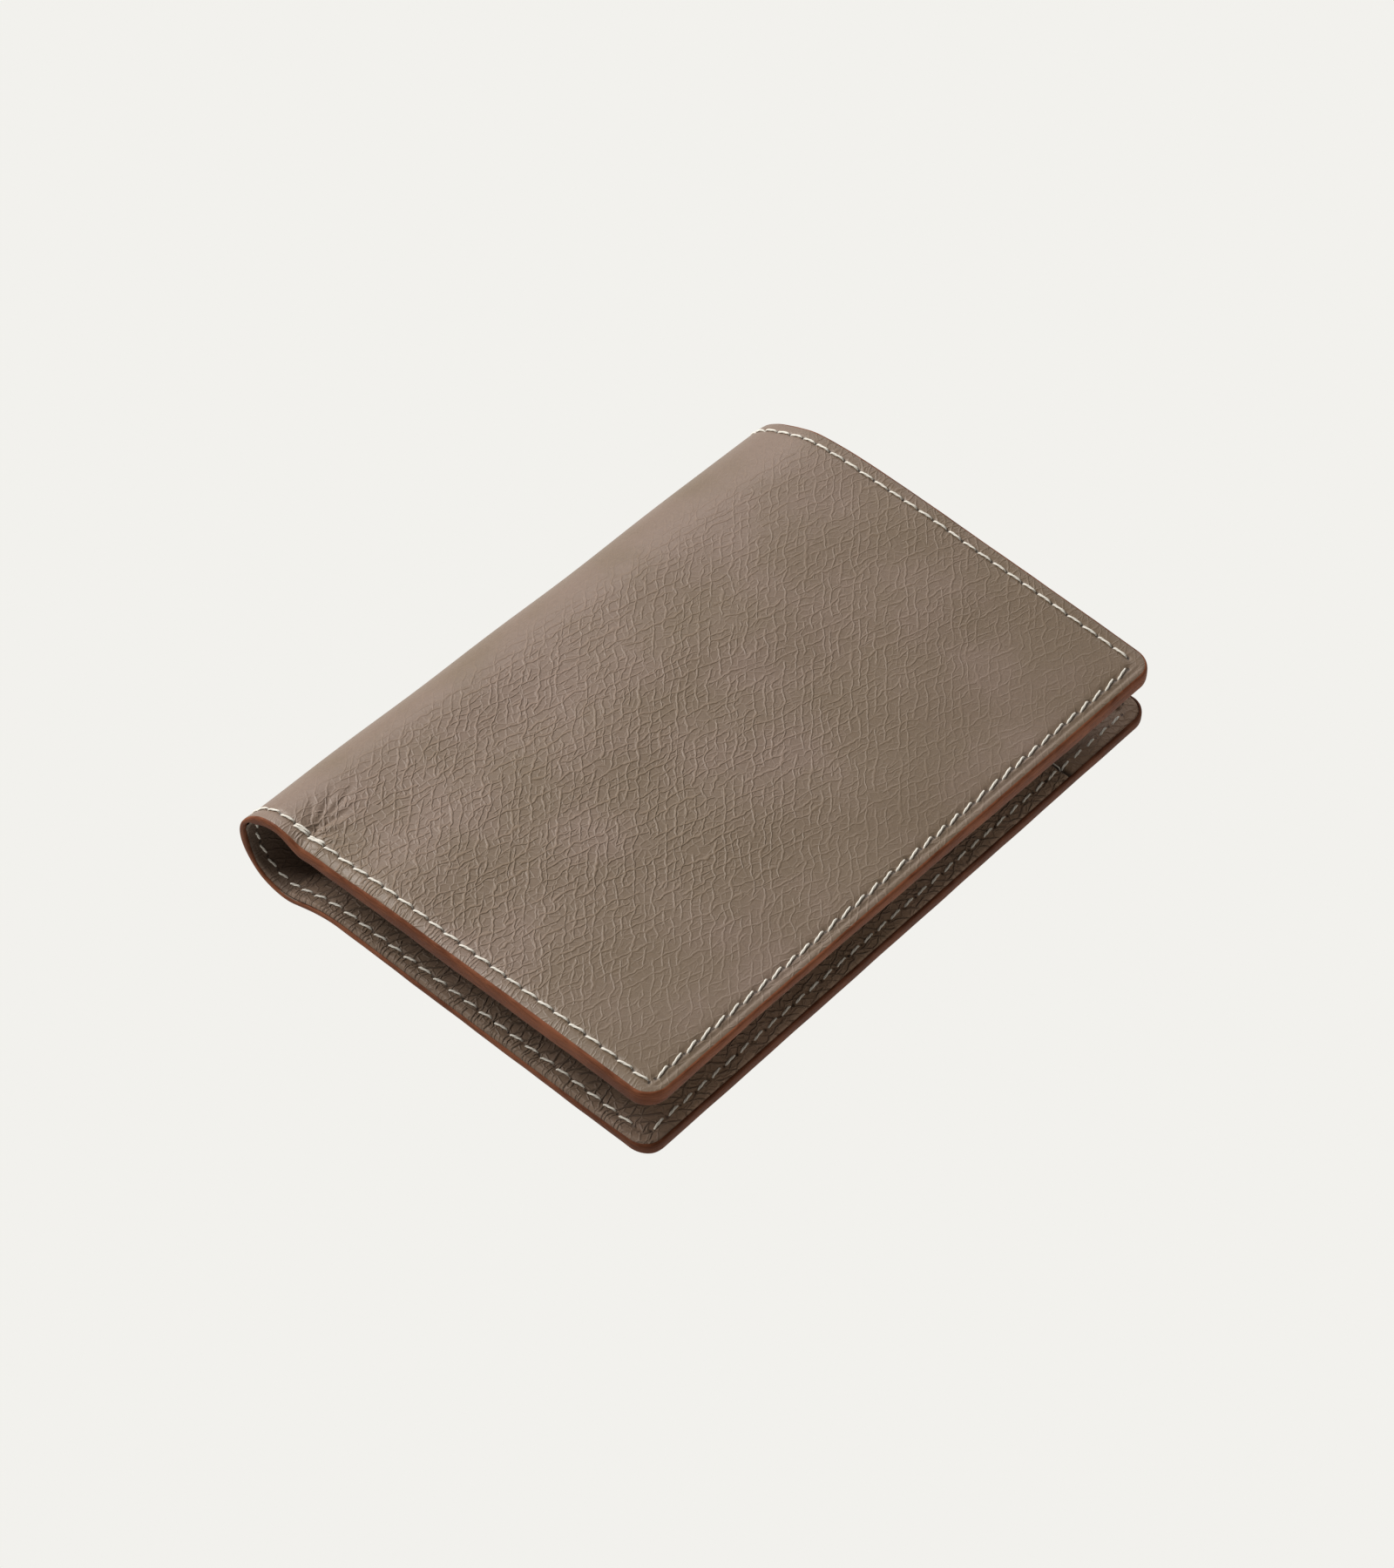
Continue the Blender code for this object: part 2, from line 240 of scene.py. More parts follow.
def rim_rounding(distance, reach=0.35, drop=0.22):
    """How far a sheet's face falls away within reach of its cut edge."""
    return drop * np.clip(1 - distance / reach, 0, 1) ** 2


HINGE_S = [arc_length_at(point) for point in HINGES]
PANEL_S = SKIN_LENGTH - (FORE_EDGE - PANEL_SPINE_SIDE)
SLEEVE_END_S = HINGE_S[1] - 0.3


def cut_lines():
    """Arc lengths at which the skin is divided: halfway between neighbouring hinges."""
    middle = [(first + last) / 2 for first, last in zip(HINGE_S, HINGE_S[1:])]
    return [2 * HINGE_S[0] - middle[0]] + middle + [2 * HINGE_S[-1] - middle[-1]]


CUTS = cut_lines()
BACK, FRONT = 0, len(CUTS)           # parts of the skin; the ones between are the bends


def sleeve_depth(s):
    """Depth of the slip pocket's inner face where it is sewn down."""
    return SLEEVE_THIN + (SLEEVE_FACE - SLEEVE_THIN) * smoothstep(SLEEVE_END_S - s, 0, 75)


def pared(s, depth):
    """Depth in the card pockets, whose leather is pared thinner toward the spine."""
    share = 0.35 + 0.65 * smoothstep(s, PANEL_S, PANEL_S + 42)
    return LINING_FACE + (depth - LINING_FACE) * share


def rim_stack(s, y):
    """Depth of the innermost sheet's face along the seam."""
    front = smoothstep(s, PANEL_S - 2.0, PANEL_S + 2.0)
    sleeve = 1 - smoothstep(s, SLEEVE_END_S - 0.8, SLEEVE_END_S + 0.8)
    sleeve = sleeve * (1 - smoothstep(y, SLEEVE_MOUTH - 0.3, SLEEVE_MOUTH + 0.5))
    return (LINING_FACE + (pared(s, FRONT_STACK) - LINING_FACE) * front
            + (sleeve_depth(s) - LINING_FACE) * sleeve)


# ---------------------------------------------------------------- the seam's holes

def hole_chains():
    """Runs of stitch holes as lists of (s, y): the two long sides and the two fore-edges."""
    corner_s = SKIN_LENGTH - SEAM_INSET
    chains = {}
    for place, y, first in (("near", -SEAM_Y, 0.07), ("far", SEAM_Y, 0.45)):
        count = int((corner_s - SEAM_INSET) / PITCH - first)
        chains[place] = [(corner_s - PITCH * (first + k), y) for k in range(count + 1)]
    for place, s, first in (("front", corner_s, 0.37), ("back", SEAM_INSET, 0.30)):
        count = int(2 * SEAM_Y / PITCH - first)
        chains[place] = [(s, -SEAM_Y + PITCH * (first + k)) for k in range(count + 1)]
    return chains


CHAINS = hole_chains()
PINCH_HOLE = 22                      # number of the near seam's hole at the pinch
PINCH_S = CHAINS["near"][PINCH_HOLE][0]


def hole_pull(s, y):
    """1 at a stitch hole, falling to 0 within half a millimetre."""
    pull = np.zeros(np.shape(s))
    for chain in CHAINS.values():
        (s0, y0), (s1, y1) = chain[0], chain[-1]
        along_s = s0 != s1
        start, end, across = (s0, s1, y - y0) if along_s else (y0, y1, s - s0)
        position = s if along_s else y
        step = (end - start) / (len(chain) - 1)
        nearest = np.clip(np.round((position - start) / step), 0, len(chain) - 1)
        gap = np.hypot(position - start - nearest * step, across)
        pull = np.maximum(pull, bump(gap, 0.0, HOLE_RADIUS))
    return pull


def mouth_gap(s, y):
    """1 in the gap at the slip pocket's mouth, where it shows at the fore-edge: the inner
    sheets are painted dark there, painted shade in the gap.
    """
    return bump(y, SLEEVE_MOUTH + 0.5, 0.85) * (1 - smoothstep(s, 5, 9))


def seam_channel(s, y):
    """1 on the seam lines, falling to 0 beside them."""
    from_end = np.minimum(s, SKIN_LENGTH - s)
    from_side = HALF_HEIGHT - np.abs(y)
    inside_end = smoothstep(from_end, SEAM_INSET - 1.5, SEAM_INSET)
    inside_side = smoothstep(from_side, SEAM_INSET - 1.5, SEAM_INSET)
    side = bump(from_side, SEAM_INSET, 0.7) * inside_end
    end = bump(from_end, SEAM_INSET, 0.7) * inside_side
    return np.maximum(side, end)


# Creases that fan out of the pinch: (direction in degrees, reach, share of the full depth)
FAN = ((148, 7, 0.5), (131, 11, 0.8), (117, 14, 1.0), (104, 17, 1.0), (91, 14, 0.9),
       (77, 15, 0.7), (60, 11, 0.7), (38, 12, 0.8), (18, 10, 0.9))
FAN_DEPTH = 0.45


def fan_creases(s, y):
    """Depth of the creases that fan out of the pinch at the near edge."""
    along, up = s - PINCH_S, y + SEAM_Y
    radius = np.hypot(along, up) + 1e-6
    angle = np.degrees(np.arctan2(up, along))
    depth = np.zeros(np.shape(s))
    for direction, reach, strength in FAN:
        bend = direction + 7.0 * np.sin(radius / 6.0 + direction)
        off = radius * np.sin(np.radians(angle - bend))
        ahead = np.cos(np.radians(angle - bend)) > 0
        width = 0.32 + 0.03 * radius
        fade = smoothstep(radius, reach, reach * 0.35) * smoothstep(radius, 0.3, 2.0)
        depth += strength * bump(off, 0.0, width) * fade * ahead
    return FAN_DEPTH * depth


def pressed_line(s, y):
    """1 on the line creased into the front cover beside its fore-edge seam."""
    ends = smoothstep(HALF_HEIGHT - np.abs(y), 1.5, 4.0)
    return bump(SKIN_LENGTH - s, PRESSED_INSET, 0.35) * ends


def undulation(s, y):
    """The slow unevenness of the hide."""
    return 0.10 * (np.sin(s / 9.1 + 0.8) * np.sin(y / 12.7 + 0.4)
                   + 0.6 * np.sin(s / 5.3 + y / 7.9 + 2.1)
                   + 0.5 * np.sin(s / 4.1 - y / 6.3 + 0.5))


def outer_relief(s, y):
    """Depth of the outer leather's face below the skin's ideal face."""
    rim = inset(s, y)
    settled = smoothstep(rim, 0.5, 3.0)
    rounding = rim_rounding(rim, 0.5, 0.16)
    sewn = CHANNEL_DEPTH * seam_channel(s, y) + HOLE_DEPTH * hole_pull(s, y)
    pressed = PRESSED_DEPTH * pressed_line(s, y)
    return rounding + sewn + pressed + settled * (fan_creases(s, y) + undulation(s, y))


def grain_strength(s, y):
    """How deep the embossed grain is: worn off on the spine, soft by the fore-edge.

    It is softest in the near corner, where a thumb opens the wallet.
    """
    spine = smoothstep(s, FRONT_START + 7, FRONT_START - 6)
    fore = smoothstep(s, SKIN_LENGTH - 42, SKIN_LENGTH - 4)
    near = smoothstep(y, 60, -45)
    thumbed = smoothstep(s, SKIN_LENGTH - 48, SKIN_LENGTH - 18) * smoothstep(y, -18, -52)
    front = (0.60 + 0.56 * near) * (1 - 0.55 * fore) * (1 - 0.85 * spine)
    front *= 1 - 0.32 * thumbed
    back = 0.75 * smoothstep(s, HINGE_S[0], HINGE_S[0] - 14)
    return np.where(s > FRONT_START - 10, front, np.maximum(back, 0.12))


# ---------------------------------------------------------------- mesh making

def new_mesh(name, points, face_groups, material, attributes=None):
    """A smooth-shaded object from millimetre points and groups of equal-sided faces."""
    mesh = bpy.data.meshes.new(name)
    points = np.asarray(points, float).reshape(-1, 3) / MM
    mesh.vertices.add(len(points))
    mesh.vertices.foreach_set("co", points.astype(np.float32).ravel())
    groups = [np.asarray(group, np.int32) for group in face_groups if len(group)]
    loops = np.concatenate([group.ravel() for group in groups])
    sizes = np.concatenate([np.full(len(group), group.shape[1]) for group in groups])
    starts = np.concatenate([[0], np.cumsum(sizes)[:-1]])
    mesh.loops.add(len(loops))
    mesh.loops.foreach_set("vertex_index", loops)
    mesh.polygons.add(len(sizes))
    mesh.polygons.foreach_set("loop_start", starts.astype(np.int32))
    mesh.update(calc_edges=True)
    mesh.validate()
    mesh.shade_smooth()
    mesh.set_sharp_from_angle(angle=math.radians(50))
    for key, values in (attributes or {}).items():
        values = np.asarray(values, np.float32)
        kind, field = ("FLOAT_VECTOR", "vector") if values.ndim > 1 else ("FLOAT", "value")
        mesh.attributes.new(key, kind, "POINT").data.foreach_set(field, values.ravel())
    mesh.materials.append(material)
    made = bpy.data.objects.new(name, mesh)
    bpy.context.scene.collection.objects.link(made)
    return made


def joined(name, pieces, material):
    """One object from pieces of (points, groups of faces, attributes of the points)."""
    points, faces, attributes = zip(*pieces)
    firsts = np.cumsum([0] + [len(some) for some in points])
    groups = [group + first for groups, first in zip(faces, firsts) for group in groups]
    together = {key: np.concatenate([some[key] for some in attributes])
                for key in attributes[0]}
    return new_mesh(name, np.concatenate(points), groups, material, together)


def grid_faces(rows, columns, first=0, flip=False):
    """Quads of a grid of vertices stored row by row."""
    i, j = np.meshgrid(np.arange(rows - 1), np.arange(columns - 1), indexing="ij")
    a = first + (i * columns + j).ravel()
    ring = [a, a + columns, a + columns + 1, a + 1]
    return np.stack(ring[::-1] if flip else ring, axis=1)


COARSE = 4                           # hidden faces have one quad for this many each way


def ticks(*stretches):
    """Values over (start, end, step) stretches, each cut into a multiple of COARSE."""
    values = [stretches[0][0]]
    for start, end, step in stretches:
        count = max(1, math.ceil(abs(end - start) / step / COARSE)) * COARSE
        values.extend(np.linspace(start, end, count + 1)[1:])
    return np.array(values)


def across_ticks(low=-HALF_HEIGHT, high=HALF_HEIGHT, margin=0.28, middle=PITCH / 9):
    """y values of a sheet's grid, with rows close together at its rims and on the seam."""
    return ticks((low, low + 0.5, 0.125), (low + 0.5, low + 6, margin),
                 (low + 6, high - 6, middle), (high - 6, high - 0.5, margin),
                 (high - 0.5, high, 0.125))


def end_ticks(inner, end, step):
    """s values from inner to a fore-edge at end, closer together round its corners."""
    side = math.copysign(1, end - inner)
    quarter = np.linspace(0, math.pi / 2, 4 * COARSE + 1)[1:]
    straight = ticks((inner, end - side * CORNER, step))
    return np.concatenate([straight, end - side * CORNER * (1 - np.sin(quarter))])


def rounded(s, y):
    """Draws a grid's sides in so that its fore-edge corners are round."""
    from_end = np.minimum(s, SKIN_LENGTH - s)
    short = np.clip(CORNER - from_end, 0, CORNER)
    half = HALF_HEIGHT - CORNER + np.sqrt(CORNER ** 2 - short ** 2)
    kept = HALF_HEIGHT - 14
    outside = np.maximum(np.abs(y) - kept, 0)
    return np.where(np.abs(y) > kept,
                    np.sign(y) * (kept + outside * (half - kept) / (HALF_HEIGHT - kept)), y)


def flat(depth):
    """A sheet's face that lies at one depth all over."""
    return lambda s, y: np.full(s.shape, depth)


def sheet(name, s_values, y_values, outer, inner, material, shown="outer", grain=None):
    """A closed sheet between two depths. Its hidden side has a coarser grid."""
    s, y = np.meshgrid(s_values, y_values, indexing="ij")
    y = rounded(s, y)
    fine, coarse = (outer, inner) if shown == "outer" else (inner, outer)
    rows, columns = s.shape
    fine_points = skin(s, y, fine(s, y)).reshape(-1, 3)
    cs, cy = s[::COARSE, ::COARSE], y[::COARSE, ::COARSE]
    coarse_points = skin(cs, cy, coarse(cs, cy)).reshape(-1, 3)
    first = rows * columns
    crows, ccolumns = cs.shape
    flip = (s_values[-1] < s_values[0]) != (shown == "inner")
    faces = [grid_faces(rows, columns, 0, not flip),
             grid_faces(crows, ccolumns, first, flip)]

    def side(fine_index, coarse_index, turned):
        walls = []
        for k in range(len(coarse_index) - 1):
            edge = list(fine_index[k * COARSE:(k + 1) * COARSE + 1])
            wall = edge + [coarse_index[k + 1], coarse_index[k]]
            walls.append(wall[::-1] if turned else wall)
        return walls

    grid = np.arange(first).reshape(rows, columns)
    low = first + np.arange(crows * ccolumns).reshape(crows, ccolumns)
    walls = (side(grid[0], low[0], not flip) + side(grid[-1], low[-1], flip)
             + side(grid[:, 0], low[:, 0], flip) + side(grid[:, -1], low[:, -1], not flip))
    faces.append(walls)
    place = np.concatenate([np.stack([s, y, 0 * s], -1).reshape(-1, 3),
                            np.stack([cs, cy, 0 * cs], -1).reshape(-1, 3)])
    strength = grain(place[:, 0], place[:, 1]) if grain else np.ones(len(place))
    # The leather is painted dark at the stitch holes, and on inner sheets in the gap at the
    # pocket's mouth: painted shade in those hollows.
    dark = hole_pull(place[:, 0], place[:, 1])
    if shown == "inner":
        dark = np.maximum(dark, mouth_gap(place[:, 0], place[:, 1]))
    return new_mesh(name, np.concatenate([fine_points, coarse_points]), faces, material,
                    {"skin_place": place, "grain": strength, "hole": dark})


# ---------------------------------------------------------------- how pieces move

def attach(made, part, nodes):
    """Lets one part's piece ride on its cover, or bakes a bend's piece where it stands."""
    if part == BACK:
        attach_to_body(made, "back_cover")
    elif part == FRONT:
        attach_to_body(made, "front_cover")
    else:
        start, end = (skin(cut, 0.0, LEATHER) / MM for cut in CUTS[part - 1:part + 1])
        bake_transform(made)
    if nodes:
        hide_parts(*nodes)
    return made


PARTS = range(FRONT + 1)
PART_NAMES = ["back"] + [f"bend_{k}" for k in range(1, FRONT)] + ["front"]


def part_of(s):
    return int(np.searchsorted(CUTS, s))


def cad_nodes(part, kind, rows=("",)):
    """The CAD nodes of one kind that a part stands for; each strip has one for every row.

    There is one bend more than the strips, so the last bend stands for none.
    """
    if part in (BACK, FRONT):
        return [PART_NAMES[part] + "_" + kind]
    if part == FRONT - 1:
        return []
    return [f"spine_{part}_{row}{kind}" for row in rows]


def part_ticks(part, step, first=None, last=None):
    """s values of one part of the skin: a bend's in order, a cover's out to its fore-edge."""
    if part == BACK:
        return end_ticks(CUTS[0], 0.0, step)
    if part == FRONT:
        return end_ticks(CUTS[-1] if first is None else first, SKIN_LENGTH, step)
    return ticks((CUTS[part - 1], CUTS[part] if last is None else last, step))


# ---------------------------------------------------------------- materials

class Shader:
    """Writes a node tree: each call adds a node and returns one of its outputs."""

    def __init__(self, name):
        self.material = bpy.data.materials.new(name)
        self.material.use_nodes = True
        self.tree = self.material.node_tree
        self.tree.nodes.clear()

    def add(self, kind, inputs=None, output=0, **settings):
        node = self.tree.nodes.new("ShaderNode" + kind)
        for key, value in settings.items():
            setattr(node, key, value)
        for key, value in (inputs or {}).items():
            if isinstance(value, bpy.types.NodeSocket):
                self.tree.links.new(value, node.inputs[key])
            else:
                node.inputs[key].default_value = value
        return node.outputs[output]

    def math(self, operation, a, b=0.0):
        return self.add("Math", {0: a, 1: b}, operation=operation)

    def times(self, a, b):
        return self.math("MULTIPLY", a, b)

    def vector(self, operation, a, b=(0, 0, 0)):
        return self.add("VectorMath", {0: a, 1: b}, operation=operation)

    def scaled(self, vector, factor):
        return self.add("VectorMath", {0: vector, "Scale": factor}, operation="SCALE")

    def coordinate(self, vector, axis):
        return self.add("SeparateXYZ", {0: vector}, output="xyz".index(axis))

    def ease(self, value, low, high, start=0.0, end=1.0):
        return self.add("MapRange", {0: value, 1: low, 2: high, 3: start, 4: end},
                        interpolation_type="SMOOTHSTEP")

    def noise(self, place, scale, detail=2.0, roughness=0.5, output=0):
        return self.add("TexNoise", {"Vector": place, "Scale": scale, "Detail": detail,
                                     "Roughness": roughness}, output=output)

    def blend(self, factor, a, b):
        return self.add("Mix", {0: factor, 6: a, 7: b}, output=2, data_type="RGBA")

    def skin_place(self):
        return self.add("Attribute", output=1, attribute_name="skin_place")

    def shifted(self, place, scale, amount):
        """place, moved about by a soft noise by up to about half of amount."""
        drift = self.noise(place, scale, output=1)
        drift = self.vector("SUBTRACT", drift, (0.5, 0.5, 0.5))
        return self.vector("ADD", place, self.scaled(drift, amount))

    def attribute(self, name):
        return self.add("Attribute", output=2, attribute_name=name)

    def creases(self, place, degrees, spacing, width, wander, broken):
        """1 on long wavy creases that run in one direction, with gaps along them."""
        turned = self.add("VectorRotate", {"Vector": place, "Angle": math.radians(-degrees)},
                          rotation_type="Z_AXIS")
        drift = self.noise(self.vector("ADD", place, (degrees, 0, 0)), 0.20)
        drift = self.times(self.math("SUBTRACT", drift, 0.5), wander)
        across = self.math("ADD", self.coordinate(turned, "y"), drift)
        edge = self.add("TexVoronoi", {"W": self.math("DIVIDE", across, spacing),
                                       "Scale": 1.0, "Randomness": 0.9},
                        voronoi_dimensions="1D", feature="DISTANCE_TO_EDGE")
        line = self.ease(edge, 0.0, width / spacing, 1.0, 0.0)
        stretched = self.vector("MULTIPLY", turned, (0.16, 0.62, 1))
        gaps = self.ease(self.noise(stretched, 1.0, detail=1.0), broken, broken + 0.12)
        return self.times(line, gaps)

    def cells(self, place, size, width):
        """1 on the borders of irregular cells."""
        edge = self.add("TexVoronoi", {"Vector": place, "Scale": 1 / size,
                                       "Randomness": 0.95},
                        voronoi_dimensions="2D", feature="DISTANCE_TO_EDGE")
        return self.ease(edge, 0.0, width / size, 1.0, 0.0)

    def show(self, surface):
        output = self.tree.nodes.new("ShaderNodeOutputMaterial")
        self.tree.links.new(surface, output.inputs["Surface"])
        return self.material

    def finish(self, colour, roughness, height, depth, specular=0.5):
        """Ends the tree in a Principled BSDF; depth is the bump's in millimetres."""
        normal = self.add("Bump", {"Height": height, "Distance": depth / MM,
                                   "Strength": 1.0})
        return self.show(self.add("BsdfPrincipled", {
            "Base Color": colour, "Roughness": roughness, "Normal": normal,
            "Specular IOR Level": specular}))


CREASE_WIDTH = 0.34


def grain_lines(shader, place):
    """Two families of long creases over small cells, and short wrinkles on the near margin."""
    drifted = shader.shifted(place, 0.45, 0.7)
    steep = shader.creases(drifted, 131, 1.8, CREASE_WIDTH, 3.0, 0.38)
    level = shader.creases(drifted, 76, 2.0, CREASE_WIDTH, 3.4, 0.40)
    small = shader.times(shader.cells(drifted, 1.8, 0.28), 0.36)
    lines = shader.math("MAXIMUM", shader.math("MAXIMUM", steep, level), small)
    short = shader.creases(drifted, 96, 0.90, CREASE_WIDTH, 2.4, 0.44)
    wrinkles = shader.math("MAXIMUM", shader.times(short, 0.90), small)
    margin = shader.ease(shader.coordinate(place, "y"), -SEAM_Y + 0.3, -SEAM_Y - 0.9)
    return shader.add("Mix", {0: margin, 2: lines, 3: wrinkles}, output=0)


def leather(name, warm, cool, depth, roughness, painted_crease_light, specular=0.35, rubbed_and_painted_light=1.0):
    """Embossed leather: long wavy creases crossing at an angle, over fine pores.

    The crease factor sets how light the creases are painted beside the rest: below 1 it is
    painted shade in them, above 1 a painted highlight. Along the back cover's fore-edge the
    leather is painted lighter by the other factor, a painted pool of light in the pocket's
    opening. Stitch holes and pocket mouths are painted dark: painted shade in those hollows.
    """
    shader = Shader(name)
    place = shader.skin_place()
    lines = shader.times(grain_lines(shader, place), shader.attribute("grain"))
    pores = shader.noise(place, 3.2, detail=4.0, roughness=0.6)
    height = shader.math("SUBTRACT", shader.times(pores, 0.16), lines)

    along = shader.coordinate(place, "x")
    # Painted light: on the front cover the leather turns cooler and darker toward its
    # fore-edge, a painted sheen near the spine fading away from it.
    away = shader.ease(along, FRONT_START + 5, SKIN_LENGTH)
    patches = shader.noise(place, 0.035, detail=4.0, roughness=0.55)
    tone = shader.math("ADD", patches, shader.times(away, 0.16))
    colour = shader.blend(shader.ease(tone, 0.38, 0.70), (*warm, 1), (*cool, 1))

    speckle = shader.noise(place, 1.1, detail=5.0, roughness=0.7)
    # Painted light in the creases: painted shade when their factor is below 1, a painted
    # highlight when it is above 1.
    painted_crease_factor = shader.math("SUBTRACT", 1.0, shader.times(lines, 1 - painted_crease_light))
    # Painted shade in the stitch holes and in the gap at the pocket's mouth.
    painted_hole_shade = shader.ease(shader.attribute("hole"), 0.25, 0.8, 1.0, 0.25)
    # Painted light: the lining and pocket leather is painted lighter along the back cover's
    # fore-edge, away from its near end, a painted pool of light in the pocket's opening.
    wear_and_painted_light = shader.times(shader.ease(along, 22, 5), shader.ease(
        shader.coordinate(place, "y"), -HALF_HEIGHT, -HALF_HEIGHT + 14))
    shade = shader.times(shader.ease(speckle, 0.3, 0.7, 0.94, 1.06), painted_crease_factor)
    shade = shader.times(shader.times(shade, painted_hole_shade), shader.ease(wear_and_painted_light, 0, 1, 1.0, rubbed_and_painted_light))

    rough = shader.ease(pores, 0.3, 0.7, roughness - 0.05, roughness + 0.07)
    rough = shader.math("ADD", shader.times(lines, 0.15), rough)
    return shader.finish(shader.scaled(colour, shade), rough, height, depth, specular)


def edge_paint():
    """Burnished red-brown edge paint, streaked along the edge and rubbed lighter in places,
    with painted light: a painted highlight along its top, painted shade lower down and toward
    the back cover's fore-edge, and painted light on the front cover's fore-edge.
    """
    shader = Shader("edge_paint")
    place = shader.skin_place()
    streaks = shader.noise(shader.vector("MULTIPLY", place, (0.35, 0.35, 4.0)), 1.0,
                           detail=4.0, roughness=0.6)
    rubbed_and_painted_light = shader.noise(place, 0.09, detail=3.0)
    tone = shader.math("ADD", shader.times(streaks, 0.55), shader.times(rubbed_and_painted_light, 0.45))
    # Painted light: the paint is lighter at the top of the band and darker deeper down, a
    # painted highlight above painted shade.
    deeper = shader.times(shader.coordinate(place, "z"), 0.03)
    tone = shader.math("SUBTRACT", tone, deeper)
    colour = shader.blend(shader.ease(tone, 0.32, 0.60), (0.088, 0.028, 0.012, 1),
                          (0.174, 0.063, 0.031, 1))
    along = shader.coordinate(place, "x")
    # Painted light: the paint is painted darker toward the back cover's fore-edge, painted
    # shade, and lighter on the front cover's fore-edge, painted light on that side.
    painted_back_shade = shader.ease(along, 0, 60, 0.85, 1)
    fore_edge = shader.ease(along, SKIN_LENGTH - 6, SKIN_LENGTH - 1, 1.0, 1.32)
    colour = shader.scaled(colour, shader.times(painted_back_shade, fore_edge))
    grit = shader.noise(place, 4.0, detail=3.0)
    height = shader.math("ADD", shader.times(grit, 0.35), shader.times(streaks, 0.9))
    return shader.finish(colour, shader.ease(tone, 0.3, 0.7, 0.48, 0.62), height, 0.07, 0.06)


def waxed_thread():
    """Cream linen thread: two twisted plies, a little soiled here and there and darker in the
    grooves between them.

    It is painted lighter along the back cover's fore-edge: painted light there.
    """
    shader = Shader("waxed_thread")
    place = shader.skin_place()
    soiled = shader.ease(shader.noise(place, 0.35, detail=2.0), 0.35, 0.7, 1.0, 0.86)
    groove = shader.ease(shader.attribute("grain"), 0.0, 1.0, 0.72, 1.0)
    # Painted light: the thread is painted lighter along the back cover's fore-edge.
    painted_thread_light = shader.ease(shader.coordinate(place, "x"), 20, 8, 1.0, 1.25)
    shade = shader.times(shader.times(soiled, groove), painted_thread_light)
    colour = shader.scaled((0.72, 0.685, 0.61), shade)
    fibres = shader.noise(place, 6.0, detail=3.0)
    return shader.finish(colour, shader.ease(fibres, 0.3, 0.7, 0.5, 0.7), fibres, 0.04)


# The outer leather's creases are painted lighter, a painted highlight; the lining's and
# pockets' creases are painted darker, painted shade.
OUTER_LEATHER = leather("outer_leather", (0.158, 0.110, 0.082), (0.132, 0.092, 0.059),
                        0.13, 0.46, painted_crease_light=1.12, specular=0.40)
# The lining is painted about a third darker than the pocket leather: painted shade inside the
# rolled spine.
LINING_LEATHER = leather("lining_leather", (0.104, 0.068, 0.047), (0.088, 0.058, 0.038),
                         0.11, 0.60, painted_crease_light=0.88, rubbed_and_painted_light=3.2)
INNER_LEATHER = leather("inner_leather", (0.160, 0.106, 0.074), (0.132, 0.088, 0.058),
                        0.19, 0.55, painted_crease_light=0.78, rubbed_and_painted_light=2.3)
EDGE_PAINT = edge_paint()
THREAD_WAX = waxed_thread()


# ---------------------------------------------------------------- the skin's two sheets

def outer_leather():
    for part in PARTS:
        fine = part in (BACK, FRONT)
        s_values = part_ticks(part, PITCH / 8 if fine else 0.42)
        if fine:
            border = s_values[0]
            s_values[1] = border + math.copysign(0.12, s_values[-1] - border)
        made = sheet("outer_leather_" + PART_NAMES[part], s_values, across_ticks(),
                     outer_relief, flat(LEATHER), OUTER_LEATHER, grain=grain_strength)
        attach(made, part, cad_nodes(part, "leather"))


def beyond_mouth(y):
    return smoothstep(y, SLEEVE_MOUTH + 0.4, SLEEVE_MOUTH + 1.0)


BACK_HEM = 2.5                       # depth of the turned hem beyond the slip pocket's mouth


def hem(s, y):
    """1 on the turned hem at the far rim of each cover, 0 elsewhere."""
    return (1 - smoothstep(inset(s, y), 3.7, 4.4)) * beyond_mouth(y)


def rim_face(s, y):
    """Depth of the innermost face at the rim, hems included."""
    on_back = 1 - smoothstep(s, CUTS[0] - 3.0, CUTS[0] + 3.0)
    hemmed = on_back * beyond_mouth(y)
    return np.maximum(rim_stack(s, y), LINING_FACE + (BACK_HEM - LINING_FACE) * hemmed)


RIM_GAP = 0.15                       # the inner sheets stop this short of the rim
FRONT_GAP = 0.50                     # and the card pockets this short


def cut_rim(s, y, gap=RIM_GAP):
    """How far the inner sheets' faces fall away at the wallet's rim."""
    return rim_rounding(inset(s, y) - gap, reach=0.7, drop=0.45)


def lining_face(s, y):
    return LINING_FACE + (rim_face(s, y) - LINING_FACE) * hem(s, y) - cut_rim(s, y)


def lining():
    low, high = -HALF_HEIGHT + RIM_GAP, HALF_HEIGHT - RIM_GAP
    for part in PARTS:
        s_values = np.clip(part_ticks(part, 0.8), RIM_GAP, SKIN_LENGTH - RIM_GAP)
        made = sheet("lining_" + PART_NAMES[part], s_values,
                     across_ticks(low, high, 0.4, 1.0), flat(LINING_BACK), lining_face,
                     LINING_LEATHER, shown="inner")
        attach(made, part, cad_nodes(part, "lining"))


# ---------------------------------------------------------------- painted edges

